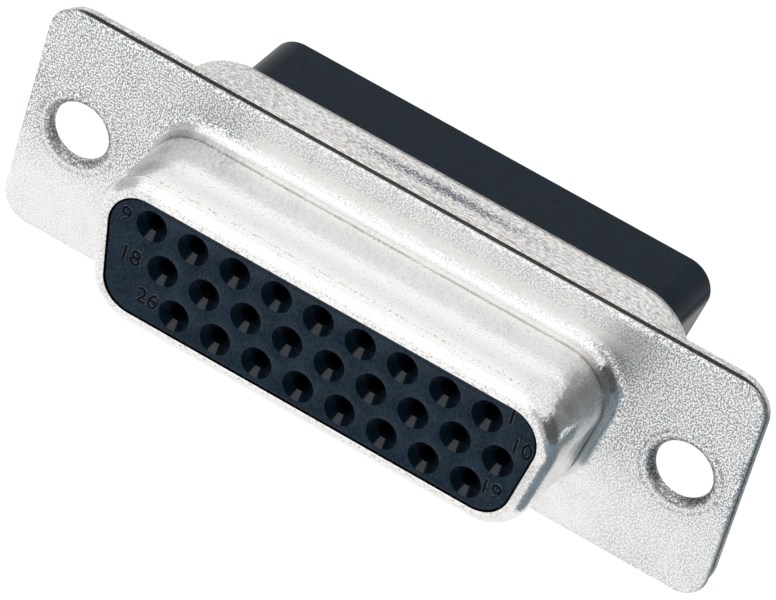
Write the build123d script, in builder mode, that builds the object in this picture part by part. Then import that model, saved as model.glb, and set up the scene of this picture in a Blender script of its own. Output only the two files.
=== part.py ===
from build123d import *
from math import cos, pi, radians, sin, tan
import os

# High-density D-shaped crimp connector, 26 socket positions.
# X runs along the flange, to the right when the mating face is looked at. The mating face
# looks towards -Y and the wires would leave towards +Y. Z is up, on the wide side of the D.
# The origin is the middle of the flange's front face, between the two mounting holes.
# A depth is measured backwards from that face, so the mating end has negative depths.

# Both shells are drawn from the same sheet, and their flanges lie face to face
sheet = 0.45
flange_length = 39.14
flange_height = 12.55
front_flange_corner = 1.5
rear_flange_corner = 1.9
edge_bevel = 0.12
seam_bevel = 0.1

# Mounting holes, each an eyelet formed from the front plate and flared into the rear one
hole_spacing = 33.32
hole_radius = 1.525
eyelet_entry = 0.4
eyelet_land = 0.12
eyelet_blend_radius = 2.6
eyelet_lip = 0.345
eyelet_clearance = 0.03

# D shapes of the nose, the cup and the tail, each with its half width at mid height, its
# half height and its corner radius
side_lean = 10
nose_shape = (12.24, 3.95, 2.55)
cup_shape = (13.97, 5.16, 3.5)
tail_shape = (11.9, 3.565, 1.5)

# Nose of the front shell, whose lip turns in around the mating face
nose_length = 5.93
nose_lip_radius = 0.8
nose_root_radius = 0.75
mouth_inset = 0.815

# Cup of the rear shell, which holds the flanges of both insulators
cup_depth = 4.79
cup_shoulder_radius = 0.75
cup_root_radius = 0.35

# A large rounding on an outer face is a fan of bands, and a small or hidden one is a bevel
outer_bands = 3
bevel_band = 1

# Insulators, which part across the connector inside the cup
parting_depth = 2.4
tail_depth = 10.08
fit = 0.03

# Contact cavities: rows from the wide side down, each with its count and the column offset
# of its first contact, which is the one at the right-hand end
contact_pitch = 2.286
row_pitch = 1.981
rows = ((9, 0.0), (9, 0.5), (8, 0.0))
first_column = 3.875
bore_sides = 10
entry_radius = 0.43
lead_in = 0.385
entry_depth = 0.75
chamber_radius = 0.72
barrel_bore_radius = 0.64
funnel = 0.24

# Socket contact, formed from strip: a seamed tube with two spring beams in front, a lance
# that catches behind the chamber, and a crimp barrel that is open along its top
contact_radius = 0.56
contact_wall = 0.16
contact_end_depth = 8.6
seam_width = 0.12
beam_length = 3.6
barrel_start_depth = 5.0
barrel_open_height = 0.2
lance_length = 2.0
lance_reach = 0.7
lance_width = 0.24


def across(depth):
    """Plane across the connector at a depth, seen from the mating side."""
    return Plane.XZ.offset(-depth)


def d_shape(shape, outset=0):
    """Rounded D with its wide side up, moved out on every side by the outset."""
    half_width, half_height, corner = shape
    lean = radians(side_lean)
    width = half_width + outset / cos(lean)
    height = half_height + outset
    spread = height * tan(lean)
    with BuildSketch() as outline:
        Polygon(
            (-width - spread, height),
            (spread - width, -height),
            (width - spread, -height),
            (width + spread, height),
        )
        fillet(outline.vertices(), corner + outset)
    return outline.sketch


def quarter_turns(bands):
    """Angles that divide a quarter turn into bands."""
    return [band * pi / 2 / bands for band in range(bands + 1)]


def drawn_form(shape, outset, depths, radii, bands):
    """D-shaped boss that spreads at its root and rounds over at its end, as drawn sheet does.

    Depths, radii and bands are each given for the root first and then for the end. The bands
    are ruled between D sections along the two quarter arcs.
    """
    root_depth, end_depth = depths
    root_radius, end_radius = radii
    length = abs(end_depth - root_depth)
    root = [
        (root_radius * (1 - sin(turn)), root_radius * (1 - cos(turn)))
        for turn in quarter_turns(bands[0])
    ]
    end = [
        (end_radius * (cos(turn) - 1), length - end_radius * (1 - sin(turn)))
        for turn in quarter_turns(bands[1])
    ]
    direction = 1 if end_depth > root_depth else -1
    with BuildPart() as boss:
        for spread, rise in root + end:
            with BuildSketch(across(root_depth + direction * rise)):
                add(d_shape(shape, outset + spread))
        loft(ruled=True)
    return boss.part


def front_loop(part):
    """Edges of the part's foremost face."""
    return part.faces().sort_by(Axis.Y)[0].edges()


def rear_loop(part):
    """Edges of the part's rearmost face."""
    return part.faces().sort_by(Axis.Y)[-1].edges()


def flared_bore(mouth_depth, end_depth, radius, flare, sides):
    """Many-sided bore with a flared mouth, as the solid that it takes away."""
    inwards = 1 if mouth_depth > end_depth else -1
    bevel = flare * cos(pi / sides)
    with BuildPart() as bore:
        with BuildSketch(across(mouth_depth + inwards * fit)):
            RegularPolygon(radius + flare, sides)
        extrude(amount=inwards * (bevel + fit))
        inner_end = bore.faces().sort_by(Axis.Y, reverse=inwards > 0)[-1]
        chamfer(inner_end.edges(), bevel)
        with BuildSketch(across(mouth_depth)):
            RegularPolygon(radius, sides)
        extrude(amount=mouth_depth - end_depth)
    return bore.part


# Places of the contacts, as X and Z, numbered from the right-hand end of the top row
contact_places = [
    ((first_column + offset - column) * contact_pitch, (1 - row) * row_pitch)
    for row, (count, offset) in enumerate(rows)
    for column in range(count)
]
contact_centres = [(x, 0, z) for x, z in contact_places]
hole_places = (-hole_spacing / 2, hole_spacing / 2)
seam_depth = sheet
plate_stack = 2 * sheet

# Eyelet radii: the flare opens at 45 degrees from the end of the land
flare_start = eyelet_entry + eyelet_land
flare_radius = hole_radius + plate_stack - flare_start
seat_radius = flare_radius + eyelet_lip

# Front shell: flange plate, drawn nose with its lip turned in, and the two eyelets
nose_outside = drawn_form(
    nose_shape,
    0,
    (0, -nose_length),
    (nose_root_radius, nose_lip_radius),
    (outer_bands, outer_bands),
)
nose_inside = drawn_form(
    nose_shape,
    -sheet,
    (seam_depth, sheet - nose_length),
    (nose_root_radius, nose_lip_radius - sheet),
    (bevel_band, bevel_band),
)
with BuildPart() as front_shell:
    with BuildSketch(across(seam_depth)):
        RectangleRounded(flange_length, flange_height, front_flange_corner)
    extrude(amount=sheet)
    chamfer(front_loop(front_shell), edge_bevel)
    chamfer(rear_loop(front_shell), seam_bevel)
    add(nose_outside)
    add(nose_inside, mode=Mode.SUBTRACT)
    with BuildSketch(across(-nose_length)):
        add(d_shape(nose_shape, -mouth_inset))
    extrude(amount=-sheet, mode=Mode.SUBTRACT)
    for place in hole_places:
        with BuildSketch(across(seam_depth)):
            with Locations((place, 0)):
                Circle(eyelet_blend_radius)
        extrude(amount=sheet, mode=Mode.SUBTRACT)
        with BuildSketch(Plane((place, 0, 0))):
            with BuildLine():
                Polyline(
                    (eyelet_blend_radius, 0),
                    (hole_radius + eyelet_entry, 0),
                    (hole_radius, eyelet_entry),
                    (hole_radius, flare_start),
                    (flare_radius, plate_stack),
                    (seat_radius, plate_stack),
                    (seat_radius - sheet, seam_depth),
                    (eyelet_blend_radius, seam_depth),
                    close=True,
                )
            make_face()
        revolve(axis=Axis((place, 0, 0), (0, 1, 0)))
front_shell.part.label = "front_shell"

# Rear shell: flange plate and the cup that turns in around the tail
cup_outside = drawn_form(
    cup_shape,
    0,
    (plate_stack, cup_depth),
    (cup_root_radius, cup_shoulder_radius),
    (bevel_band, outer_bands),
)
cup_inside = drawn_form(
    cup_shape,
    -sheet,
    (seam_depth, cup_depth - sheet),
    (cup_root_radius, cup_shoulder_radius - sheet),
    (bevel_band, bevel_band),
)
with BuildPart() as rear_shell:
    with BuildSketch(across(plate_stack)):
        RectangleRounded(flange_length, flange_height, rear_flange_corner)
    extrude(amount=sheet)
    chamfer(rear_loop(rear_shell), edge_bevel)
    chamfer(front_loop(rear_shell), seam_bevel)
    add(cup_outside)
    add(cup_inside, mode=Mode.SUBTRACT)
    with BuildSketch(across(cup_depth)):
        add(d_shape(tail_shape, fit))
    extrude(amount=sheet, mode=Mode.SUBTRACT)
    for place in hole_places:
        with BuildSketch(across(plate_stack)):
            with Locations((place, 0)):
                Circle(seat_radius + eyelet_clearance)
        extrude(amount=sheet, taper=45, mode=Mode.SUBTRACT)
rear_shell.part.label = "rear_shell"

# Front insulator: flange, nose body, mating face and the closed-entry cavities
chamber_depth = entry_depth - nose_length
pin_entry = flared_bore(-nose_length, chamber_depth, entry_radius, lead_in, bore_sides)
with BuildPart() as front_insulator:
    with BuildSketch(across(parting_depth)):
        add(d_shape(cup_shape, -sheet - fit))
    extrude(amount=parting_depth - seam_depth)
    with BuildSketch(across(seam_depth)):
        add(d_shape(nose_shape, -sheet - fit))
    extrude(amount=nose_length - fit)
    chamfer(front_loop(front_insulator), nose_lip_radius - sheet)
    with BuildSketch(across(0)):
        add(d_shape(nose_shape, -mouth_inset - fit))
    extrude(amount=nose_length)
    with Locations(*contact_centres):
        add(pin_entry, mode=Mode.SUBTRACT)
    with BuildSketch(across(parting_depth)):
        with Locations(*contact_places):
            RegularPolygon(chamber_radius, bore_sides)
    extrude(amount=parting_depth - chamber_depth, mode=Mode.SUBTRACT)
front_insulator.part.label = "front_insulator"

# Rear insulator: flange, tail and the funnel-mouthed bores that the contacts go in by
barrel_bore = flared_bore(tail_depth, parting_depth, barrel_bore_radius, funnel, bore_sides)
with BuildPart() as rear_insulator:
    with BuildSketch(across(cup_depth - sheet)):
        add(d_shape(cup_shape, -sheet - fit))
    extrude(amount=cup_depth - sheet - parting_depth)
    chamfer(rear_loop(rear_insulator), cup_shoulder_radius - sheet)
    with BuildSketch(across(tail_depth)):
        add(d_shape(tail_shape))
    extrude(amount=tail_depth - parting_depth)
    with Locations(*contact_centres):
        add(barrel_bore, mode=Mode.SUBTRACT)
rear_insulator.part.label = "rear_insulator"

# Socket contact, made once about its own axis and then set into each cavity
with BuildPart() as contact:
    with BuildSketch(across(contact_end_depth)):
        RegularPolygon(contact_radius, bore_sides)
        RegularPolygon(contact_radius - contact_wall, bore_sides, mode=Mode.SUBTRACT)
        with Locations((0, contact_radius)):
            Rectangle(seam_width, contact_radius, mode=Mode.SUBTRACT)
    extrude(amount=contact_end_depth - chamber_depth)
    with BuildSketch(across(chamber_depth)):
        with Locations((0, -contact_radius)):
            Rectangle(seam_width, contact_radius)
    extrude(amount=-beam_length, mode=Mode.SUBTRACT)
    with BuildSketch(Plane.YZ):
        with Locations((barrel_start_depth, barrel_open_height)):
            Rectangle(contact_end_depth, contact_radius, align=(Align.MIN, Align.MIN))
    extrude(amount=contact_radius, both=True, mode=Mode.SUBTRACT)
    with BuildSketch(Plane.YZ):
        with BuildLine():
            Polyline(
                (parting_depth - lance_length, contact_wall / 2 - contact_radius),
                (parting_depth, contact_wall / 2 - contact_radius),
                (parting_depth, -lance_reach),
                close=True,
            )
        make_face()
    extrude(amount=lance_width / 2, both=True)

# Every piece is written under its own name
os.makedirs("parts", exist_ok=True)
for piece in (front_shell, rear_shell, front_insulator, rear_insulator):
    export_step(piece.part, f"parts/{piece.part.label}.step")
for number, (x, z) in enumerate(contact_places, start=1):
    placed_contact = contact.part.moved(Location((x, 0, z)))
    placed_contact.label = f"socket_contact_{number:02d}"
    export_step(placed_contact, f"parts/{placed_contact.label}.step")
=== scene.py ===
"""Looks of a high-density D-shaped crimp connector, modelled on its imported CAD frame."""
from math import cos, pi, radians, sin

import bmesh
import bpy
from mathutils import Euler, Matrix, Vector


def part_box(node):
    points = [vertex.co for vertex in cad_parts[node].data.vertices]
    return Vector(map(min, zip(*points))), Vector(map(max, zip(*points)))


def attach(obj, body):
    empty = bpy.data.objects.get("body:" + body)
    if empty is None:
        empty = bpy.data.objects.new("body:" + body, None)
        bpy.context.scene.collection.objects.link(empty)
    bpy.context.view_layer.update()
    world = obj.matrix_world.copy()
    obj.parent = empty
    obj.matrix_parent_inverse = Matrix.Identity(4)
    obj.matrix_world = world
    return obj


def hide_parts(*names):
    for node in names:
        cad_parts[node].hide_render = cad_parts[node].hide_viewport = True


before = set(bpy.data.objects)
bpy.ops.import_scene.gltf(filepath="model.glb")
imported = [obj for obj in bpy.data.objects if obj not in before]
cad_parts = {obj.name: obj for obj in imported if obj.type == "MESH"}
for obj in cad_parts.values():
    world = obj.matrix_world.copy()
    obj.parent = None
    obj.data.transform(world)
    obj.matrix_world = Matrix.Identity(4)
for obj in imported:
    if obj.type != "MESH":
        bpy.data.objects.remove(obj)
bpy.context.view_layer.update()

bl_info = {
    "name": "D-shaped Crimp Connector",
    "version": (1, 0, 0),
    "blender": (4, 5, 0),
    "location": "3D View > Sidebar > Connector",
    "description": "Shells, insulators, numerals and contacts of a high-density connector",
    "category": "Add Mesh",
}

MM = 0.001
BODY = "root"
BACKWARDS = Vector((0, 1, 0))
FORWARDS = Vector((0, -1, 0))
MERGE_DISTANCE = 0.0005 * MM
CREASE = radians(28)

# How far past a rounding its profile goes on along the flat face beside it
SUPPORT = 0.08 * MM

# A sloping face counts as part of a cone where its normal's share along Y is below this
CONE_SLOPE = 0.85

# Height of each contact's axis: nine, nine and eight to a row, one row pitch apart
ROW_PITCH = 1.981 * MM
CONTACT_ROWS = [ROW_PITCH] * 9 + [0.0] * 9 + [-ROW_PITCH] * 8

# Middle of each moulded number on the mating face, in millimetres, beside the ends of the rows
NUMERAL_PLACES = {
    "9": (-10.8, 1.9),
    "18": (-10.04, -0.1),
    "26": (-8.63, -1.83),
    "1": (10.02, 2.64),
    "10": (10.91, 1.28),
    "19": (10.12, -1.63),
}

# Font size for a numeral one unit high
FONT_PER_NUMERAL = 1.4

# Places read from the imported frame: both shells, the insulators' parting face and the tail's end
shell_low, shell_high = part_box("front_shell")
cup_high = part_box("rear_shell")[1]
parting_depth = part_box("front_insulator")[1].y
tail_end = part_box("rear_insulator")[1].y
contact_nodes = sorted(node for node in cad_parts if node.startswith("socket_contact_"))
contact_boxes = [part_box(node) for node in contact_nodes]


def length(name, description, millimetres):
    """Length property whose default is given in millimetres."""
    return bpy.props.FloatProperty(
        name=name,
        description=description,
        default=millimetres * MM,
        unit="LENGTH",
        precision=5,
    )


def colour(name, description, default):
    """Linear colour property."""
    return bpy.props.FloatVectorProperty(
        name=name,
        description=description,
        default=default,
        size=3,
        min=0,
        max=1,
        subtype="COLOR",
    )


def amount(name, description, default):
    """Plain number property."""
    return bpy.props.FloatProperty(name=name, description=description, default=default)


def angle(name, description, degrees):
    """Angle property whose default is given in degrees."""
    return bpy.props.FloatProperty(
        name=name,
        description=description,
        default=radians(degrees),
        subtype="ANGLE",
    )


class ConnectorShellSizes(bpy.types.PropertyGroup):
    """Sizes of the two drawn shells."""

    sheet: length("Sheet", "Thickness of the sheet that both shells are drawn from", 0.45)
    front_corner: length("Front corner", "Corner radius of the front plate", 1.5)
    rear_corner: length("Rear corner", "Corner radius of the rear plate", 1.9)
    roll_inset: length("Roll inset", "How far in the front plate's rolled edge begins", 0.4)
    roll_depth: length("Roll depth", "How deep the front plate's rolled edge is", 0.15)
    edge_round: length("Edge rounding", "Rounding of the rear plate's rear edge", 0.12)
    seam_round: length("Seam rounding", "Rounding of the plates' edges at the seam", 0.04)
    front_gap: length("Front gap", "How much the front plate thins towards its edge", 0.25)
    rear_gap: length("Rear gap", "How much the rear plate thins towards its edge", 0.05)
    seam_reach: length("Seam reach", "How far in the gap between the plates goes", 0.4)
    lean: angle("Side lean", "Lean of the D's short sides", 10)
    nose_half_width: length("Nose half width", "Half width of the nose at mid height", 12.24)
    nose_half_height: length("Nose half height", "Half height of the nose", 3.95)
    nose_corner: length("Nose corner", "Corner radius of the nose", 2.55)
    nose_lip: length("Nose lip", "Rounding of the nose's turned-in lip", 0.8)
    nose_root: length("Nose root", "Fillet between the nose and its plate", 0.75)
    mouth_inset: length("Mouth inset", "How far the lip turns in", 0.815)
    cup_half_width: length("Cup half width", "Half width of the cup at mid height", 13.97)
    cup_half_height: length("Cup half height", "Half height of the cup", 5.16)
    cup_corner: length("Cup corner", "Corner radius of the cup", 3.5)
    cup_shoulder: length("Cup shoulder", "Rounding of the cup's rear edge", 0.75)
    cup_root: length("Cup root", "Fillet between the cup and its plate", 0.35)
    hole_spacing: length("Hole spacing", "Distance between the mounting holes", 33.32)
    hole_radius: length("Hole radius", "Radius of the mounting holes", 1.525)
    hole_entry: length("Hole entry", "Rounding of the eyelets' front edge", 0.4)
    hole_land: length("Hole land", "Length of the eyelets' straight bore", 0.12)
    eyelet_reach: length("Eyelet reach", "Radius at which an eyelet joins its plate", 2.32)
    eyelet_lip: length("Eyelet lip", "Width of the eyelets' rear lip", 0.345)
    press_ring: length("Press ring", "Radius of the faint ring pressed round a hole", 2.15)
    press_width: length("Press width", "Half width of the pressed ring", 0.12)
    press_dip: length("Press dip", "Depth of the pressed ring", 0.05)


class ConnectorInsulatorSizes(bpy.types.PropertyGroup):
    """Sizes of the two moulded insulators."""

    fit: length("Fit", "Gap between the insulators and the shells", 0.03)
    face_gap: length("Face gap", "Gap between the mating face and the lip", 0.05)
    face_round: length("Face rounding", "Rounding of the mating face's edge", 0.1)
    tail_half_width: length("Tail half width", "Half width of the tail at mid height", 11.9)
    tail_half_height: length("Tail half height", "Half height of the tail", 3.565)
    tail_corner: length("Tail corner", "Corner radius of the tail", 1.5)
    tail_edge: length("Tail edge", "Rounding of the tail's rear edge", 0.06)
    pin_radius: length("Pin entry", "Radius of the closed entry for a pin", 0.43)
    lead_in: length("Lead-in", "Width and depth of the cone before an entry", 0.385)
    rim_round: length("Rim rounding", "Rounding of a cone's rim", 0.03)
    entry_depth: length("Entry depth", "Depth of an entry from the mating face", 0.75)
    chamber_radius: length("Chamber", "Radius of the chamber behind an entry", 0.72)
    barrel_radius: length("Barrel bore", "Radius of the bores in the rear insulator", 0.64)
    funnel: length("Funnel", "Width and depth of the funnel at a bore's mouth", 0.24)
    face_recess: length("Face recess", "How far the mating face lies behind the lip", 0.06)
    numeral_height: length("Numeral height", "Height of the moulded position numbers", 0.86)
    numeral_rise: length("Numeral rise", "How far the numbers stand out of the face", 0.03)
    numeral_bevel: length("Numeral bevel", "Width of the numbers' sloping edges", 0.025)


class ConnectorColours(bpy.types.PropertyGroup):
    """Colours of the finishes and of the backdrop."""

    tin: colour("Tin", "Bright tin plate", (0.85, 0.85, 0.835))
    # Also used for painted reflection, through the crystals' density, and for painted shade on the
    # nose's top wall near the lip.
    grain: colour("Tin grain", "Darker crystals of the tin plate", (0.19, 0.22, 0.26))
    scuff: colour("Scuff", "Dark marks on the cup's drawn top", (0.10, 0.13, 0.19))
    stain: colour("Stain", "Brownish marks on the drawn walls", (0.36, 0.31, 0.28))
    bore: colour("Bore", "Torn surface inside the eyelets", (0.15, 0.135, 0.13))
    # Painted shade in the gap between the two plates.
    seam: colour("Seam", "Dirt in the gap between the plates", (0.30, 0.29, 0.28))
    plastic: colour("Plastic", "Blue-black of the insulators", (0.001, 0.003, 0.006))
    # Real streaks, and painted light where faces along the mating axis get more of this colour.
    plastic_sheen: colour("Plastic sheen", "Lighter streaks of the plastic", (0.012, 0.022, 0.034))
    plastic_gloss: colour("Plastic gloss", "Tint of the plastic's reflections", (0.36, 0.66, 1.0))
    # Painted highlight on the numbers' sloping edges.
    painted_edge_highlight: colour("Worn edge", "Light edges of the moulded numbers", (0.09, 0.10, 0.12))
    gold: colour("Gold", "Thin gold plate of the contacts", (0.83, 0.60, 0.26))
    bronze: colour("Bronze", "Copper alloy where the gold is thin", (0.55, 0.33, 0.14))
    # Painted shade inside the sockets.
    socket_painted_shade: colour("Dull bronze", "Dark alloy inside the sockets", (0.02, 0.012, 0.007))
    floor: colour("Floor", "Pale floor", (0.96, 0.96, 0.96))


class ConnectorStudio(bpy.types.PropertyGroup):
    """Camera and light of the studio."""

    azimuth: angle("Azimuth", "Camera's turn to the right of the mating axis", 19.22)
    elevation: angle("Elevation", "Camera's height above the horizon", 36.37)
    roll: angle("Roll", "Camera's turn about its own axis", 17.66)
    distance: length("Distance", "Distance from the camera to the connector", 351.67)
    lens: amount("Lens", "Focal length in millimetres on a 36 mm sensor", 351.43)
    aim: bpy.props.FloatVectorProperty(
        name="Aim",
        description="Place that the camera looks at",
        default=(0.466 * MM, 0.310 * MM, 0.190 * MM),
        size=3,
        unit="LENGTH",
        precision=5,
    )
    surroundings: amount("Surroundings", "Strength of the white surroundings", 1.12)
    front_light: amount("Front light", "Radiance of the large light in front", 0.22)
    floor_drop: length("Floor drop", "Height of the connector's origin above the floor", 30)
    floor_size: length("Floor size", "Side of the floor", 2400)


def corner_arcs(half_width, half_height, corner, lean=0.0):
    """Centre, first angle and sweep of each corner arc of a rounded D or rectangle."""
    rise = half_height - corner
    arcs = []
    for start, sweep, side, up in (
        (-pi / 2, pi / 2 - lean, 1, -1),
        (-lean, pi / 2 + lean, 1, 1),
        (pi / 2, pi / 2 + lean, -1, 1),
        (pi + lean, pi / 2 - lean, -1, -1),
    ):
        reach = half_width + (up * rise * sin(lean) - corner) / cos(lean)
        arcs.append((Vector((side * reach, 0, up * rise)), start, sweep))
    return arcs


def quarter(outset, depth, radius, start, turn=pi / 2, steps=6):
    """Points, as (outset, depth), of an arc about a centre."""
    return [
        (
            outset + radius * cos(start + turn * step / steps),
            depth + radius * sin(start + turn * step / steps),
        )
        for step in range(steps + 1)
    ]


def chain(bm, points, placed):
    """Wire through profile points, each placed in space by a function."""
    verts = [bm.verts.new(placed(*point)) for point in points]
    return verts + [bm.edges.new(pair) for pair in zip(verts, verts[1:])]


def only(kind, geometry):
    """Elements of one kind out of mixed geometry."""
    return [item for item in geometry if isinstance(item, kind)]


def sweep_outline(bm, profile, arcs, corner, steps=20):
    """Sweeps a profile of (outset, depth) points round an outline.

    The profile is spun about each corner's centre and extruded along each straight side.
    """
    centre, start, _ = arcs[0]
    outwards = Vector((cos(start), 0, sin(start)))
    wire = chain(
        bm,
        profile,
        lambda outset, depth: centre + outwards * (corner + outset) + BACKWARDS * depth,
    )
    for place, (centre, _, sweep) in enumerate(arcs):
        spun = bmesh.ops.spin(
            bm,
            geom=wire,
            cent=centre,
            axis=FORWARDS,
            dvec=(0, 0, 0),
            angle=sweep,
            space=Matrix(),
            steps=steps,
            use_merge=False,
            use_normal_flip=False,
            use_duplicate=False,
        )
        wire = spun["geom_last"]
        edges = only(bmesh.types.BMEdge, wire)
        side = bmesh.ops.extrude_edge_only(bm, edges=edges)["geom"]
        moved = only(bmesh.types.BMVert, side)
        following = arcs[(place + 1) % len(arcs)][0]
        bmesh.ops.translate(bm, verts=moved, vec=following - centre)
        ends = set(moved)
        wire = moved + [
            edge for edge in only(bmesh.types.BMEdge, side) if ends.issuperset(edge.verts)
        ]
    merge(bm)


def spin_profile(bm, profile, axis_place, steps=48):
    """Spins a profile of (radius, depth) points once round an axis through a place."""
    wire = chain(
        bm,
        profile,
        lambda radius, depth: axis_place + Vector((radius, depth, 0)),
    )
    bmesh.ops.spin(
        bm,
        geom=wire,
        cent=axis_place,
        axis=FORWARDS,
        dvec=(0, 0, 0),
        angle=2 * pi,
        space=Matrix(),
        steps=steps,
        use_merge=True,
        use_normal_flip=False,
        use_duplicate=False,
    )


def merge(bm):
    """Joins vertices that lie on each other."""
    bmesh.ops.remove_doubles(bm, verts=bm.verts, dist=MERGE_DISTANCE)


def fill_depth(bm, depth):
    """Fills the flat region between all the open loops that lie at one depth."""
    loops = [
        edge
        for edge in bm.edges
        if edge.is_boundary and all(abs(vert.co.y - depth) < MERGE_DISTANCE for vert in edge.verts)
    ]
    bmesh.ops.triangle_fill(
        bm, edges=loops, use_beauty=True, use_dissolve=False, normal=FORWARDS
    )


def make_piece(name, bm, material, nodes):
    """Closes, smooths and names a modelled mesh, which then stands for its CAD nodes."""
    merge(bm)
    bmesh.ops.recalc_face_normals(bm, faces=bm.faces)
    mesh = bpy.data.meshes.new(name)
    bm.to_mesh(mesh)
    bm.free()
    mesh.shade_smooth()
    mesh.set_sharp_from_angle(angle=CREASE)
    mesh.materials.append(material)
    piece = bpy.data.objects.new(name, mesh)
    bpy.context.scene.collection.objects.link(piece)
    weighted = piece.modifiers.new("Weighted Normal", "WEIGHTED_NORMAL")
    weighted.weight = 100
    weighted.keep_sharp = True
    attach(piece, BODY)
    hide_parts(*nodes)
    return piece


class Signal:
    """A node's output, on which arithmetic adds Math nodes."""

    def __init__(self, finish, socket):
        self.finish = finish
        self.socket = socket

    def math(self, operation, *terms):
        """Math node of this signal and other terms, in the order given."""
        inputs = dict(enumerate(terms))
        return self.finish.node("ShaderNodeMath", {"operation": operation}, inputs)

    def __add__(self, other):
        return self.math("ADD", self, other)

    __radd__ = __add__

    def __sub__(self, other):
        return self.math("SUBTRACT", self, other)

    def __rsub__(self, other):
        return self.math("SUBTRACT", other, self)

    def __mul__(self, other):
        return self.math("MULTIPLY", self, other)

    __rmul__ = __mul__


class Finish:
    """A node material, with one method that adds any node to it."""

    def __init__(self, name):
        self.material = bpy.data.materials.new(name)
        self.material.use_nodes = True
        self.tree = self.material.node_tree
        self.shader = self.tree.nodes["Principled BSDF"]

    def node(self, kind, settings=None, inputs=None, output=0):
        """Adds a node: its settings first, then the values or links of its sockets."""
        made = self.tree.nodes.new(kind)
        for key, value in (settings or {}).items():
            setattr(made, key, value)
        for key, value in (inputs or {}).items():
            self.feed(made.inputs[key], value)
        return Signal(self, made.outputs[output])

    def feed(self, socket, value):
        """Links a signal to a socket, or sets the socket's own value."""
        if isinstance(value, Signal):
            self.tree.links.new(value.socket, socket)
        else:
            socket.default_value = value

    def surface(self, **values):
        """Feeds the shader's sockets, named with underscores for spaces."""
        for key, value in values.items():
            self.feed(self.shader.inputs[key.replace("_", " ")], value)
        return self.material

    def place(self):
        """Object coordinates."""
        return self.node("ShaderNodeTexCoord", output="Object")

    def along(self, axis):
        """One object coordinate in millimetres."""
        parts = self.node("ShaderNodeSeparateXYZ", inputs={0: self.place()}, output=axis)
        return parts * (1 / MM)

    def facing(self, axis):
        """How far the surface faces along an axis, from 0 to 1."""
        normal = self.node("ShaderNodeTexCoord", output="Normal")
        return self.size(self.node("ShaderNodeSeparateXYZ", inputs={0: normal}, output=axis))

    def patch(self, signal, middle, reach):
        """Falls from 1 at the middle to 0 at the reach, on both sides."""
        return self.ramp(self.size(signal - middle), reach, 0)

    def size(self, signal):
        """Signal without its sign."""
        return self.node("ShaderNodeMath", {"operation": "ABSOLUTE"}, {0: signal})

    def noise(self, grain, stretch=(1, 1, 1), detail=2.0, roughness=0.5):
        """Noise from 0 to 1 whose blotches are about one grain, in metres, across."""
        scaled = self.node(
            "ShaderNodeMapping", inputs={"Vector": self.place(), "Scale": stretch}
        )
        return self.node(
            "ShaderNodeTexNoise",
            inputs={
                "Vector": scaled,
                "Scale": 1 / grain,
                "Detail": detail,
                "Roughness": roughness,
            },
        )

    def ramp(self, signal, low, high):
        """Signal spread so that low gives 0 and high gives 1, smoothly and clamped."""
        return self.node(
            "ShaderNodeMapRange",
            {"interpolation_type": "SMOOTHSTEP"},
            {"Value": signal, "From Min": low, "From Max": high},
        )

    def blend(self, share, first, second):
        """Mix of two colours by a share."""
        return self.node(
            "ShaderNodeMix",
            {"data_type": "RGBA", "clamp_factor": True},
            {"Factor": share, 6: first, 7: second},
            output=2,
        )

    def bump(self, height, distance, strength=1.0):
        """Normal bent by a height that varies from 0 to 1."""
        return self.node(
            "ShaderNodeBump",
            inputs={"Height": height, "Distance": distance, "Strength": strength},
        )


def opaque(colour_property):
    """Colour property as four values."""
    return (*colour_property, 1)


class ShellPlaces:
    """Where a point of the shells lies, as signals in millimetres or shares from 0 to 1."""

    def __init__(self, finish, sizes):
        self.across, self.depth, self.height = (finish.along(axis) for axis in "XYZ")
        self.aside = finish.size(self.across)
        past_axis = self.aside - sizes.hole_spacing / 2 / MM
        squared = past_axis * past_axis + self.height * self.height
        self.from_hole = squared.math("POWER", squared, 0.5)
        self.plates = finish.ramp(self.depth, -0.3, -0.02)
        self.nose = 1 - self.plates
        self.ends = finish.ramp(self.aside, 9, 11.2)
        self.right_end = finish.ramp(self.across, 9.5, 11.5) * self.nose
        self.clouds = finish.noise(1.2 * MM)


def tin_crystals_and_painted_reflection(finish, at):
    """Share of dark crystals, real grain whose density by place is painted reflection: dense high on the
    plates, sparse on the drawn walls.
    """
    upper = finish.ramp(at.height, -3.8, 0.6)
    right = finish.ramp(at.across, 12, 15)
    painted_reflection_over_nose = finish.ramp(at.height, 4.1, 4.5) * finish.ramp(finish.size(at.across - 2.0), 11.5, 9)
    by_fillet = painted_reflection_over_nose * finish.ramp(at.height, 5.3, 4.8)
    behind = finish.ramp(at.depth, 0.5, 0.6)
    # Painted reflection: the crystals grow denser with height and at the lower right, and thinner above
    # the nose and by its fillet, to stand for darker and lighter surroundings that the plate mirrors.
    cover = 0.2 + 0.62 * upper * (1 - 0.6 * painted_reflection_over_nose) + 0.22 * right * (1 - upper)
    cover = (cover + 0.5 * (at.clouds - 0.5)) * (1 - 0.8 * by_fillet)
    crystals = finish.ramp(finish.noise(0.088 * MM, detail=0.5), 0.45, 0.55)
    return crystals * cover * (0.06 + 0.94 * at.plates - 0.4 * behind + 0.3 * at.ends * at.nose)


def dotted_lines(finish, at):
    """Share of stain in broken lines: by the lip, by the root, on the mouth and round a hole."""
    lip_line, root_line, hole_ring = -5.15, -1.0, 2.2
    lines = finish.patch(at.depth, lip_line, 0.1) + finish.patch(at.depth, root_line, 0.12)
    lines = lines + finish.patch(at.from_hole, hole_ring, 0.15)
    lines = lines + 0.5 * finish.ramp(at.depth, -5.8, -5.9)
    dots = finish.noise(0.07 * MM, stretch=(0.6, 1, 1))
    return 0.7 * finish.ramp(dots + 0.14 * lines, 0.64, 0.7)


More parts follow.
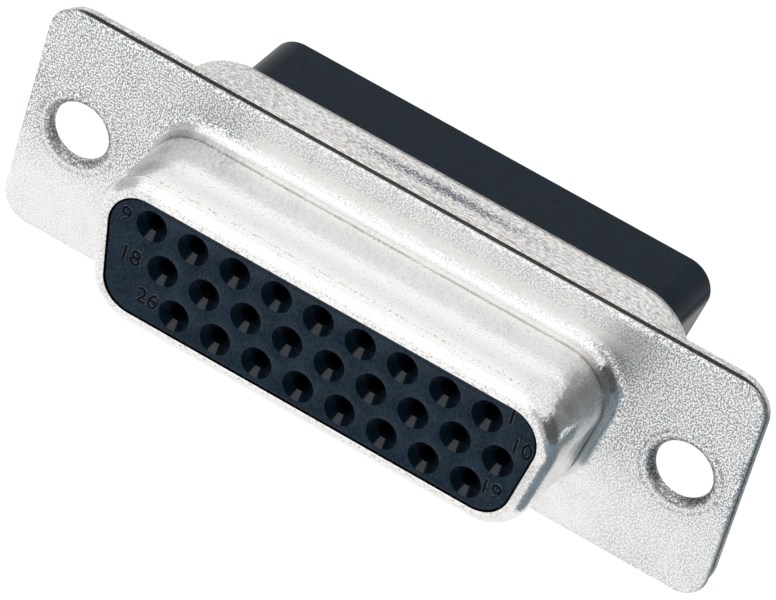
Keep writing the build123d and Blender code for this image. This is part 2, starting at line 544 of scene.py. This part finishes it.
def tarnish(finish, at):
    """Share of stain in soft blotches on the nose's ends, and a patchy darker band along the nose just
    in front of its root.
    """
    fold_line, fold_reach = -0.95, 0.15
    blotches = finish.ramp(finish.noise(1.2 * MM, detail=3), 0.45, 0.65)
    fold = finish.patch(at.depth, fold_line, fold_reach) * finish.ramp(at.clouds, 0.3, 0.6)
    return 0.3 * at.ends * at.nose * blotches + 0.75 * fold


def scuffs(finish, at):
    """Share of dark specks, crowded where the cup's top rubbed in its die."""
    middle, depth = 0.5, 3.2
    rubbed = finish.patch(at.across, middle, 9.5) * finish.patch(at.depth, depth, 0.75)
    rubbed = rubbed * finish.ramp(at.height, 4, 5)
    specks = finish.noise(0.065 * MM, stretch=(0.6, 1, 1))
    return finish.ramp(specks + 0.33 * rubbed, 0.68, 0.78)


def torn_bore(finish, at):
    """Share of torn, dull metal inside the eyelets."""
    return 0.85 * finish.ramp(at.from_hole, 1.95, 1.75) * finish.ramp(finish.noise(0.1 * MM), 0.36, 0.56)


def seam_painted_shade(finish, at):
    """Share of painted shade in the gap between the plates, outside the eyelets."""
    gap = finish.ramp(at.depth, 0.19, 0.21) * finish.ramp(at.depth, 0.51, 0.49)
    return gap * finish.ramp(at.from_hole, 2.4, 2.6)


def worn_edges(finish, at):
    """Share of wear where the sheet curves away from the plates, outside the holes."""
    curved = finish.ramp(finish.facing("Y"), 0.9, 0.6) * at.plates
    wear = finish.ramp(finish.noise(0.12 * MM, stretch=(0.4, 1, 1)), 0.35, 0.8)
    return curved * finish.ramp(at.from_hole, 2.2, 2.4) * wear


def sheet_relief(finish, at):
    """Height of the sheet's unevenness, rougher on the nose and dented on its right end."""
    uneven = finish.noise(0.3 * MM)
    hammered = finish.noise(0.16 * MM) * at.nose * (0.4 + 1.2 * at.ends)
    dents = finish.noise(0.9 * MM, detail=1) * 6 * at.right_end
    return uneven + hammered + dents


def tin_plate(colours, sizes):
    """Tin plate: crystalline grain on the plates, smoother and marked where it is drawn, with painted
    reflection in the grain's density and painted shade near the lip and in the seam.
    """
    finish = Finish("tin_plate")
    at = ShellPlaces(finish, sizes)
    # Dark crystals; their density by place is painted reflection.
    grain = tin_crystals_and_painted_reflection(finish, at)
    # Painted shade: the nose's top wall darkens towards the lip in the grain colour.
    painted_shade_near_lip = 0.17 * finish.patch(at.depth, -4.3, 1.0) * finish.ramp(at.height, 3, 3.6)
    base = opaque(colours.tin)
    for share, paint in (
        (grain, colours.grain),
        (dotted_lines(finish, at), colours.stain),
        (tarnish(finish, at), colours.stain),
        (painted_shade_near_lip, colours.grain),
        (scuffs(finish, at), colours.scuff),
        (torn_bore(finish, at), colours.bore),
        (seam_painted_shade(finish, at), colours.seam),
        (worn_edges(finish, at), colours.stain),
    ):
        base = finish.blend(share, base, opaque(paint))
    lip = finish.ramp(at.depth, -4.9, -5.3)
    return finish.surface(
        Base_Color=base,
        Metallic=1.0,
        Roughness=0.13 + 0.22 * at.plates + 0.1 * grain + 0.08 * lip - 0.03 * at.right_end,
        Normal=finish.bump(sheet_relief(finish, at), 0.012 * MM, 0.55),
    )


def moulded_plastic(name, colours, gloss):
    """Satin blue-black plastic with fine upright streaks on its mating face; the faces along the mating
    axis are painted lighter than the side walls and bores.
    """
    finish = Finish(name)
    streaks = finish.noise(0.07 * MM, stretch=(1, 1, 0.3), roughness=0.6)
    mottle = finish.noise(0.9 * MM)
    face = finish.ramp(finish.facing("Y"), 0.8, 0.98)
    pattern = 0.9 * finish.ramp(streaks, 0.4, 0.7) + 0.3 * finish.ramp(mottle, 0.3, 0.7)
    # Painted light and shade: faces along Y get the full streak colour, side walls and bores about a
    # third of it.
    light = (0.35 + 0.65 * face) * pattern
    base = finish.blend(light, opaque(colours.plastic), opaque(colours.plastic_sheen))
    return finish.surface(
        Base_Color=base,
        Roughness=0.32,
        Specular_IOR_Level=gloss,
        Specular_Tint=opaque(colours.plastic_gloss),
        Normal=finish.bump(streaks, 0.006 * MM, 0.8),
    )


def cone_painted_shade_and_highlight(colours):
    """The same plastic inside the cones, with painted shade and a painted highlight: a darker base, and
    a coat that shines only in a wedge above and one below, picked by the direction each face points.
    """
    finish = Finish("cone_painted_shade_and_highlight")
    streaks = finish.noise(0.07 * MM, stretch=(1, 1, 0.3), roughness=0.6)
    # Painted highlight: the coat is turned on only where the face's direction falls in the wedge.
    painted_highlight_wedge = finish.ramp(finish.facing("X") - 0.34 * finish.facing("Z"), 0.02, -0.08)
    # Painted shade: the cones get only a trace of the streak colour.
    base = finish.blend(streaks * 0.08, opaque(colours.plastic), opaque(colours.plastic_sheen))
    return finish.surface(
        Base_Color=base,
        Roughness=0.22,
        Coat_Weight=0.8 * painted_highlight_wedge,
        Coat_Roughness=0.1,
        Specular_IOR_Level=0.03,
        Specular_Tint=opaque(colours.plastic_gloss),
        Normal=finish.bump(streaks, 0.006 * MM, 0.8),
    )


def mark_cones(bm, depth):
    """Gives the second material to sloping faces that lie in front of a depth."""
    bm.normal_update()
    for face in bm.faces:
        if abs(face.normal.y) < CONE_SLOPE and face.calc_center_median().y < depth:
            face.material_index = 1


def numeral_plastic(colours):
    """The same plastic on the raised numbers: dull on top, with a painted highlight in patches on the
    sloping edges.
    """
    finish = Finish("numeral_plastic")
    fine = finish.noise(0.06 * MM)
    # Painted highlight: the sloping edges are lightened in patches.
    edge = finish.ramp(finish.facing("Y"), 0.95, 0.8) * finish.ramp(fine, 0.35, 0.5)
    base = finish.blend(edge, opaque(colours.plastic), opaque(colours.painted_edge_highlight))
    return finish.surface(
        Base_Color=base,
        Roughness=0.4 + 0.2 * fine,
        Specular_IOR_Level=0.04,
        Normal=finish.bump(fine, 0.004 * MM, 0.5),
    )


def gold_plate(colours):
    """Thin gold over copper alloy, bright on the barrels, painted dark towards the sockets' front as
    painted shade.
    """
    finish = Finish("gold_plate")
    lines = finish.noise(0.2 * MM, stretch=(5, 0.3, 5))
    dull = finish.noise(0.7 * MM)
    # Painted shade: the contacts go nearly black towards the front, deep inside the insulator.
    rear = finish.ramp(finish.along("Y"), -2, 3)
    bright = finish.blend(
        finish.ramp(dull, 0.4, 0.7) * 0.4, opaque(colours.gold), opaque(colours.bronze)
    )
    base = finish.blend(rear, opaque(colours.socket_painted_shade), bright)
    return finish.surface(
        Base_Color=base,
        Metallic=1.0,
        Roughness=0.25 + 0.2 * lines,
        Normal=finish.bump(lines, 0.004 * MM, 0.4),
    )


def card_paper(name, tone, tint=(1, 1, 1)):
    """Matt paper, of a grey tone and a tint, for a card that the metal mirrors."""
    finish = Finish(name)
    fibres = finish.noise(3 * MM, detail=1)
    light = [tone * share for share in tint]
    base = finish.blend(fibres * 0.3, opaque(light), opaque(0.8 * level for level in light))
    return finish.surface(Base_Color=base, Roughness=0.9, Specular_IOR_Level=0.1)


def plain_floor(colours):
    """Pale matt floor with a hardly visible unevenness."""
    finish = Finish("floor_paint")
    tone = finish.noise(120 * MM)
    worn = [0.97 * level for level in colours.floor]
    base = finish.blend(tone * 0.1, opaque(colours.floor), opaque(worn))
    return finish.surface(Base_Color=base, Roughness=0.8, Specular_IOR_Level=0.2)


def rolled_edge(depth, turn, inset, reach):
    """Profile of a sheared sheet's rounded outer edge, from its face to its middle."""
    arc = quarter(0, 0, 1, -pi / 2)
    return [(-inset - SUPPORT, depth)] + [
        ((outset - 1) * inset, depth + turn * (across + 1) * reach) for outset, across in arc
    ]


def seam_edge(turn, gap, sizes):
    """Profile of a sheet's edge at the seam, down into the gap between the two sheets."""
    rounding = sizes.seam_round
    depth = sizes.sheet + turn * gap
    start = depth + turn * rounding
    return [
        *quarter(-rounding, start, rounding, 0, -turn * pi / 2, steps=5),
        (-sizes.seam_reach, depth),
        (-sizes.seam_reach - 2 * SUPPORT, sizes.sheet),
    ]


def eyelet_profile(sizes):
    """Profile of an eyelet, from the plate's front face round to its rear face."""
    stack = 2 * sizes.sheet
    flare_start = sizes.hole_entry + sizes.hole_land
    flare_end = sizes.hole_radius + stack - flare_start
    seat = flare_end + sizes.eyelet_lip
    entry = quarter(
        sizes.hole_radius + sizes.hole_entry, sizes.hole_entry, sizes.hole_entry, -pi / 2, -pi / 2
    )
    return [
        (sizes.eyelet_reach, 0),
        (sizes.press_ring + sizes.press_width, 0),
        (sizes.press_ring, sizes.press_dip),
        (sizes.press_ring - sizes.press_width, 0),
        *entry,
        (sizes.hole_radius, flare_start),
        (flare_end, stack),
        (seat, stack),
        (seat - sizes.sheet, sizes.sheet),
        (sizes.eyelet_reach, sizes.sheet),
    ]


def nose_arcs(sizes):
    """Corner arcs of the nose's D."""
    return corner_arcs(
        sizes.nose_half_width, sizes.nose_half_height, sizes.nose_corner, sizes.lean
    )


def cup_arcs(sizes):
    """Corner arcs of the cup's D."""
    return corner_arcs(sizes.cup_half_width, sizes.cup_half_height, sizes.cup_corner, sizes.lean)


def hole_axes(sizes):
    """Places of the two mounting holes' axes."""
    return [Vector((side * sizes.hole_spacing / 2, 0, 0)) for side in (-1, 1)]


class CONNECTOR_OT_front_shell(bpy.types.Operator):
    """Front shell: flange plate, drawn nose with its lip turned in, and two eyelets"""

    bl_idname = "connector.front_shell"
    bl_label = "Front Shell"

    def execute(self, context):
        sizes = context.scene.connector_shell
        sheet, lip, root = sizes.sheet, sizes.nose_lip, sizes.nose_root
        face = shell_low.y
        mouth_edge = sizes.mouth_inset - lip
        inner = lip - sheet
        nose = [
            (root + SUPPORT, 0),
            *quarter(root, -root, root, pi / 2, steps=8),
            *quarter(-lip, face + lip, lip, 0, -pi / 2, steps=8),
            (-sizes.mouth_inset, face + mouth_edge),
            (-sizes.mouth_inset, face + sheet),
            *quarter(-lip, face + lip, inner, -pi / 2, steps=4),
            *quarter(root - sheet, sheet - root, root, pi, -pi / 2, steps=4),
            (root - sheet + SUPPORT, sheet),
        ]
        bm = bmesh.new()
        sweep_outline(bm, nose, nose_arcs(sizes), sizes.nose_corner)
        sweep_outline(
            bm,
            rolled_edge(0, 1, sizes.roll_inset, sizes.roll_depth)
            + seam_edge(-1, sizes.front_gap, sizes),
            corner_arcs(shell_high.x, shell_high.z, sizes.front_corner),
            sizes.front_corner,
        )
        for axis in hole_axes(sizes):
            spin_profile(bm, eyelet_profile(sizes), axis, steps=72)
        fill_depth(bm, 0)
        fill_depth(bm, sheet)
        material = tin_plate(context.scene.connector_colours, sizes)
        make_piece("front_shell_sheet", bm, material, ["front_shell"])
        return {"FINISHED"}


class CONNECTOR_OT_rear_shell(bpy.types.Operator):
    """Rear shell: flange plate and the cup that turns in around the tail"""

    bl_idname = "connector.rear_shell"
    bl_label = "Rear Shell"

    def execute(self, context):
        sizes = context.scene.connector_shell
        tail = context.scene.connector_insulator
        sheet, shoulder, root = sizes.sheet, sizes.cup_shoulder, sizes.cup_root
        plate_back = 2 * sheet
        cup_back = cup_high.y
        inner = shoulder - sheet
        cup = [
            (root + SUPPORT, plate_back),
            *quarter(root, plate_back + root, root, -pi / 2, -pi / 2, steps=5),
            *quarter(-shoulder, cup_back - shoulder, shoulder, 0, steps=8),
            (-shoulder - SUPPORT, cup_back),
        ]
        hollow = [
            (-shoulder - SUPPORT, cup_back - sheet),
            *quarter(-shoulder, cup_back - shoulder, inner, pi / 2, -pi / 2, steps=4),
            *quarter(root - sheet, sheet + root, root, pi, pi / 2, steps=4),
            (root - sheet + SUPPORT, sheet),
        ]
        opening = [
            (tail.fit + SUPPORT, cup_back),
            (tail.fit, cup_back),
            (tail.fit, cup_back - sheet),
            (tail.fit + SUPPORT, cup_back - sheet),
        ]
        bm = bmesh.new()
        sweep_outline(bm, cup, cup_arcs(sizes), sizes.cup_corner)
        sweep_outline(bm, hollow, cup_arcs(sizes), sizes.cup_corner)
        sweep_outline(bm, opening, tail_arcs(tail, sizes), tail.tail_corner)
        sweep_outline(
            bm,
            rolled_edge(plate_back, -1, sizes.edge_round, sizes.edge_round)
            + seam_edge(1, sizes.rear_gap, sizes),
            corner_arcs(shell_high.x, shell_high.z, sizes.rear_corner),
            sizes.rear_corner,
        )
        flare_start = sizes.hole_entry + sizes.hole_land
        seat = sizes.hole_radius + plate_back - flare_start + sizes.eyelet_lip + tail.fit
        for axis in hole_axes(sizes):
            spin_profile(bm, [(seat, plate_back), (seat - sheet, sheet)], axis, steps=72)
        for depth in (sheet, plate_back, cup_back - sheet, cup_back):
            fill_depth(bm, depth)
        material = bpy.data.materials["tin_plate"]
        make_piece("rear_shell_sheet", bm, material, ["rear_shell"])
        return {"FINISHED"}


def tail_arcs(tail, sizes):
    """Corner arcs of the tail's D."""
    return corner_arcs(tail.tail_half_width, tail.tail_half_height, tail.tail_corner, sizes.lean)


def contact_centres():
    """Places of the contacts' axes, at the depth of the flange's front face."""
    return [
        Vector(((low.x + high.x) / 2, 0, CONTACT_ROWS[place]))
        for place, (low, high) in enumerate(contact_boxes)
    ]


class CONNECTOR_OT_front_insulator(bpy.types.Operator):
    """Front insulator: flange in the cup, mating face and its closed-entry cavities"""

    bl_idname = "connector.front_insulator"
    bl_label = "Front Insulator"

    def execute(self, context):
        shell = context.scene.connector_shell
        sizes = context.scene.connector_insulator
        sheet = shell.sheet
        face = shell_low.y + sizes.face_recess
        neck = shell.mouth_inset + sizes.face_gap
        wall = sheet + sizes.fit
        soften = sizes.face_round
        body = [
            (-neck - soften - SUPPORT, face),
            *quarter(-neck - soften, face + soften, soften, -pi / 2, steps=4),
            (-neck, shell_low.y + wall),
            (-shell.nose_lip, shell_low.y + wall),
            (-wall, shell_low.y + shell.nose_lip),
            (-wall, sheet),
        ]
        flange = [(-wall, sheet), (-wall, parting_depth)]
        cavity = [
            (sizes.pin_radius + sizes.lead_in + sizes.rim_round, face),
            (sizes.pin_radius + sizes.lead_in, face + sizes.rim_round / 2),
            (sizes.pin_radius, face + sizes.lead_in),
            (sizes.pin_radius, face + sizes.entry_depth),
            (sizes.chamber_radius, face + sizes.entry_depth),
            (sizes.chamber_radius, parting_depth),
        ]
        bm = bmesh.new()
        sweep_outline(bm, body, nose_arcs(shell), shell.nose_corner)
        sweep_outline(bm, flange, cup_arcs(shell), shell.cup_corner)
        for centre in contact_centres():
            spin_profile(bm, cavity, centre)
        for depth in (face, sheet, parting_depth):
            fill_depth(bm, depth)
        mark_cones(bm, face + sizes.entry_depth)
        colours = context.scene.connector_colours
        material = moulded_plastic("face_plastic", colours, 0.2)
        piece = make_piece("mating_insulator", bm, material, ["front_insulator"])
        # The cones' own material holds painted shade and a painted highlight.
        piece.data.materials.append(cone_painted_shade_and_highlight(colours))
        return {"FINISHED"}


class CONNECTOR_OT_rear_insulator(bpy.types.Operator):
    """Rear insulator: flange in the cup, the tail and its funnel-mouthed bores"""

    bl_idname = "connector.rear_insulator"
    bl_label = "Rear Insulator"

    def execute(self, context):
        shell = context.scene.connector_shell
        sizes = context.scene.connector_insulator
        seat = cup_high.y - shell.sheet
        wall = shell.sheet + sizes.fit
        bevel = shell.cup_shoulder - shell.sheet
        edge = sizes.tail_edge
        flange = [
            (-wall, parting_depth),
            (-wall, seat - bevel),
            (-wall - bevel, seat),
        ]
        tail = [
            (0, seat),
            *quarter(-edge, tail_end - edge, edge, 0, steps=4),
            (-edge - SUPPORT, tail_end),
        ]
        bore = [
            (sizes.barrel_radius + sizes.funnel, tail_end),
            (sizes.barrel_radius, tail_end - sizes.funnel),
            (sizes.barrel_radius, parting_depth),
        ]
        bm = bmesh.new()
        sweep_outline(bm, flange, cup_arcs(shell), shell.cup_corner)
        sweep_outline(bm, tail, tail_arcs(sizes, shell), sizes.tail_corner)
        for centre in contact_centres():
            spin_profile(bm, bore, centre)
        for depth in (parting_depth, seat, tail_end):
            fill_depth(bm, depth)
        material = moulded_plastic("tail_plastic", context.scene.connector_colours, 0.12)
        make_piece("wire_insulator", bm, material, ["rear_insulator"])
        return {"FINISHED"}


class CONNECTOR_OT_numerals(bpy.types.Operator):
    """Position numbers moulded at both ends of each row"""

    bl_idname = "connector.numerals"
    bl_label = "Numerals"

    def execute(self, context):
        sizes = context.scene.connector_insulator
        turn = Euler((pi / 2, 0, 0)).to_matrix().to_4x4()
        bm = bmesh.new()
        for words, (x, z) in NUMERAL_PLACES.items():
            text = bpy.data.curves.new("numeral", "FONT")
            text.body = words
            text.size = sizes.numeral_height * FONT_PER_NUMERAL
            text.align_x = "CENTER"
            text.align_y = "CENTER"
            text.extrude = sizes.numeral_rise
            text.bevel_depth = sizes.numeral_bevel
            text.bevel_resolution = 0
            text.offset = sizes.numeral_bevel / 2
            holder = bpy.data.objects.new("numeral", text)
            context.scene.collection.objects.link(holder)
            context.view_layer.update()
            mesh = bpy.data.meshes.new_from_object(holder)
            face = shell_low.y + sizes.face_recess
            mesh.transform(Matrix.Translation((x * MM, face, z * MM)) @ turn)
            bm.from_mesh(mesh)
            bpy.data.objects.remove(holder)
            bpy.data.meshes.remove(mesh)
        material = numeral_plastic(context.scene.connector_colours)
        make_piece("position_numerals", bm, material, [])
        return {"FINISHED"}


class CONNECTOR_OT_contacts(bpy.types.Operator):
    """Gold finish of the socket contacts, whose meshes stay those of the solids"""

    bl_idname = "connector.contacts"
    bl_label = "Contacts"

    def execute(self, context):
        material = gold_plate(context.scene.connector_colours)
        for node in contact_nodes:
            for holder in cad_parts[node].material_slots:
                holder.material = material
        return {"FINISHED"}


def look_from(azimuth, elevation, roll):
    """Rotation of a camera at an azimuth and an elevation, rolled about its own axis."""
    turn = Euler((pi / 2 - elevation, 0, azimuth)).to_matrix()
    return turn @ Matrix.Rotation(roll, 3, "Z")


def softbox(name, place, target, size, radiance):
    """Rectangular area light at a place, turned to a target, both in millimetres."""
    lamp = bpy.data.lights.new(name, "AREA")
    lamp.shape = "RECTANGLE"
    lamp.size = size[0] * MM
    lamp.size_y = size[1] * MM
    lamp.energy = radiance * pi * lamp.size * lamp.size_y
    holder = bpy.data.objects.new(name, lamp)
    bpy.context.scene.collection.objects.link(holder)
    aim = Vector(target) - Vector(place)
    holder.rotation_euler = aim.to_track_quat("-Z", "Y").to_euler()
    holder.location = Vector(place) * MM
    holder.visible_camera = False


def flag(name, place, target, size, material):
    """Card that only shows in reflections, at a place and facing a target in millimetres."""
    aim = Vector(target) - Vector(place)
    turn = aim.to_track_quat("Z", "Y").to_matrix().to_4x4()
    bm = bmesh.new()
    bmesh.ops.create_grid(bm, x_segments=1, y_segments=1, size=0.5 * MM)
    bmesh.ops.scale(bm, verts=bm.verts, vec=(*size, 1))
    bmesh.ops.transform(bm, verts=bm.verts, matrix=Matrix.Translation(Vector(place) * MM) @ turn)
    mesh = bpy.data.meshes.new(name)
    bm.to_mesh(mesh)
    bm.free()
    mesh.materials.append(material)
    card = bpy.data.objects.new(name, mesh)
    bpy.context.scene.collection.objects.link(card)
    card.visible_camera = False
    card.visible_diffuse = False
    card.visible_shadow = False


class CONNECTOR_OT_studio(bpy.types.Operator):
    """Pale floor, soft light and the camera"""

    bl_idname = "connector.studio"
    bl_label = "Studio"

    def execute(self, context):
        scene = context.scene
        studio = scene.connector_studio
        bm = bmesh.new()
        bmesh.ops.create_grid(
            bm, x_segments=2, y_segments=2, size=studio.floor_size / 2
        )
        bmesh.ops.translate(bm, verts=bm.verts, vec=(0, 0, -studio.floor_drop))
        mesh = bpy.data.meshes.new("floor")
        bm.to_mesh(mesh)
        bm.free()
        mesh.materials.append(plain_floor(scene.connector_colours))
        floor = bpy.data.objects.new("floor", mesh)
        scene.collection.objects.link(floor)

        softbox("front_light", (-130, -300, 330), (0, 0, 0), (620, 560), studio.front_light)
        dark = card_paper("dark_card", 0.1)
        grey = card_paper("grey_card", 0.56)
        blue = card_paper("blue_card", 0.26, (0.78, 1.0, 1.16))
        flag("right_card", (230, -30, 60), (0, -30, 60), (500, 260), dark)
        flag("right_front_card", (117, -230, 110), (0, 0, 110), (120, 280), grey)
        flag("right_low_card", (150, 30, -29), (150, 30, 0), (244, 110), blue)
        flag("right_low_front_card", (155, -90, -29), (155, -90, 0), (210, 130), blue)
        flag("left_card", (-250, -30, 80), (0, -30, 80), (340, 230), grey)
        flag("back_card", (0, 300, 30), (0, 0, 0), (240, 150), dark)

        world = bpy.data.worlds.new("studio")
        world.use_nodes = True
        background = world.node_tree.nodes["Background"]
        background.inputs["Color"].default_value = (1, 1, 1, 1)
        background.inputs["Strength"].default_value = studio.surroundings
        scene.world = world
        scene.view_settings.view_transform = "Standard"

        lens = bpy.data.cameras.new("camera")
        lens.lens = studio.lens
        lens.clip_start = 0.01
        lens.clip_end = 10
        camera = bpy.data.objects.new("camera", lens)
        turn = look_from(studio.azimuth, studio.elevation, studio.roll)
        place = Vector(studio.aim) + turn @ Vector((0, 0, studio.distance))
        camera.matrix_world = Matrix.Translation(place) @ turn.to_4x4()
        scene.collection.objects.link(camera)
        scene.camera = camera
        return {"FINISHED"}


class CONNECTOR_PT_panel(bpy.types.Panel):
    """Sizes, colours and steps of the connector"""

    bl_idname = "CONNECTOR_PT_panel"
    bl_label = "Crimp Connector"
    bl_space_type = "VIEW_3D"
    bl_region_type = "UI"
    bl_category = "Connector"

    def draw(self, context):
        layout = self.layout
        for group in SETTINGS:
            box = layout.box()
            settings = getattr(context.scene, group)
            for key in settings.bl_rna.properties.keys():
                if key not in ("rna_type", "name"):
                    box.prop(settings, key)
        for step in STEPS:
            layout.operator(step.bl_idname)


SETTINGS = {
    "connector_shell": ConnectorShellSizes,
    "connector_insulator": ConnectorInsulatorSizes,
    "connector_colours": ConnectorColours,
    "connector_studio": ConnectorStudio,
}

STEPS = (
    CONNECTOR_OT_front_shell,
    CONNECTOR_OT_rear_shell,
    CONNECTOR_OT_front_insulator,
    CONNECTOR_OT_rear_insulator,
    CONNECTOR_OT_numerals,
    CONNECTOR_OT_contacts,
    CONNECTOR_OT_studio,
)


def register():
    """Registers the settings, the operators and the panel."""
    for kind in (*SETTINGS.values(), *STEPS, CONNECTOR_PT_panel):
        bpy.utils.register_class(kind)
    for name, kind in SETTINGS.items():
        setattr(bpy.types.Scene, name, bpy.props.PointerProperty(type=kind))


def unregister():
    """Takes out what register put in."""
    for name in SETTINGS:
        delattr(bpy.types.Scene, name)
    for kind in reversed((*SETTINGS.values(), *STEPS, CONNECTOR_PT_panel)):
        bpy.utils.unregister_class(kind)


def main():
    """Builds every piece and the studio."""
    register()
    bpy.ops.connector.front_shell()
    bpy.ops.connector.rear_shell()
    bpy.ops.connector.front_insulator()
    bpy.ops.connector.rear_insulator()
    bpy.ops.connector.numerals()
    bpy.ops.connector.contacts()
    bpy.ops.connector.studio()


if __name__ == "__main__":
    main()
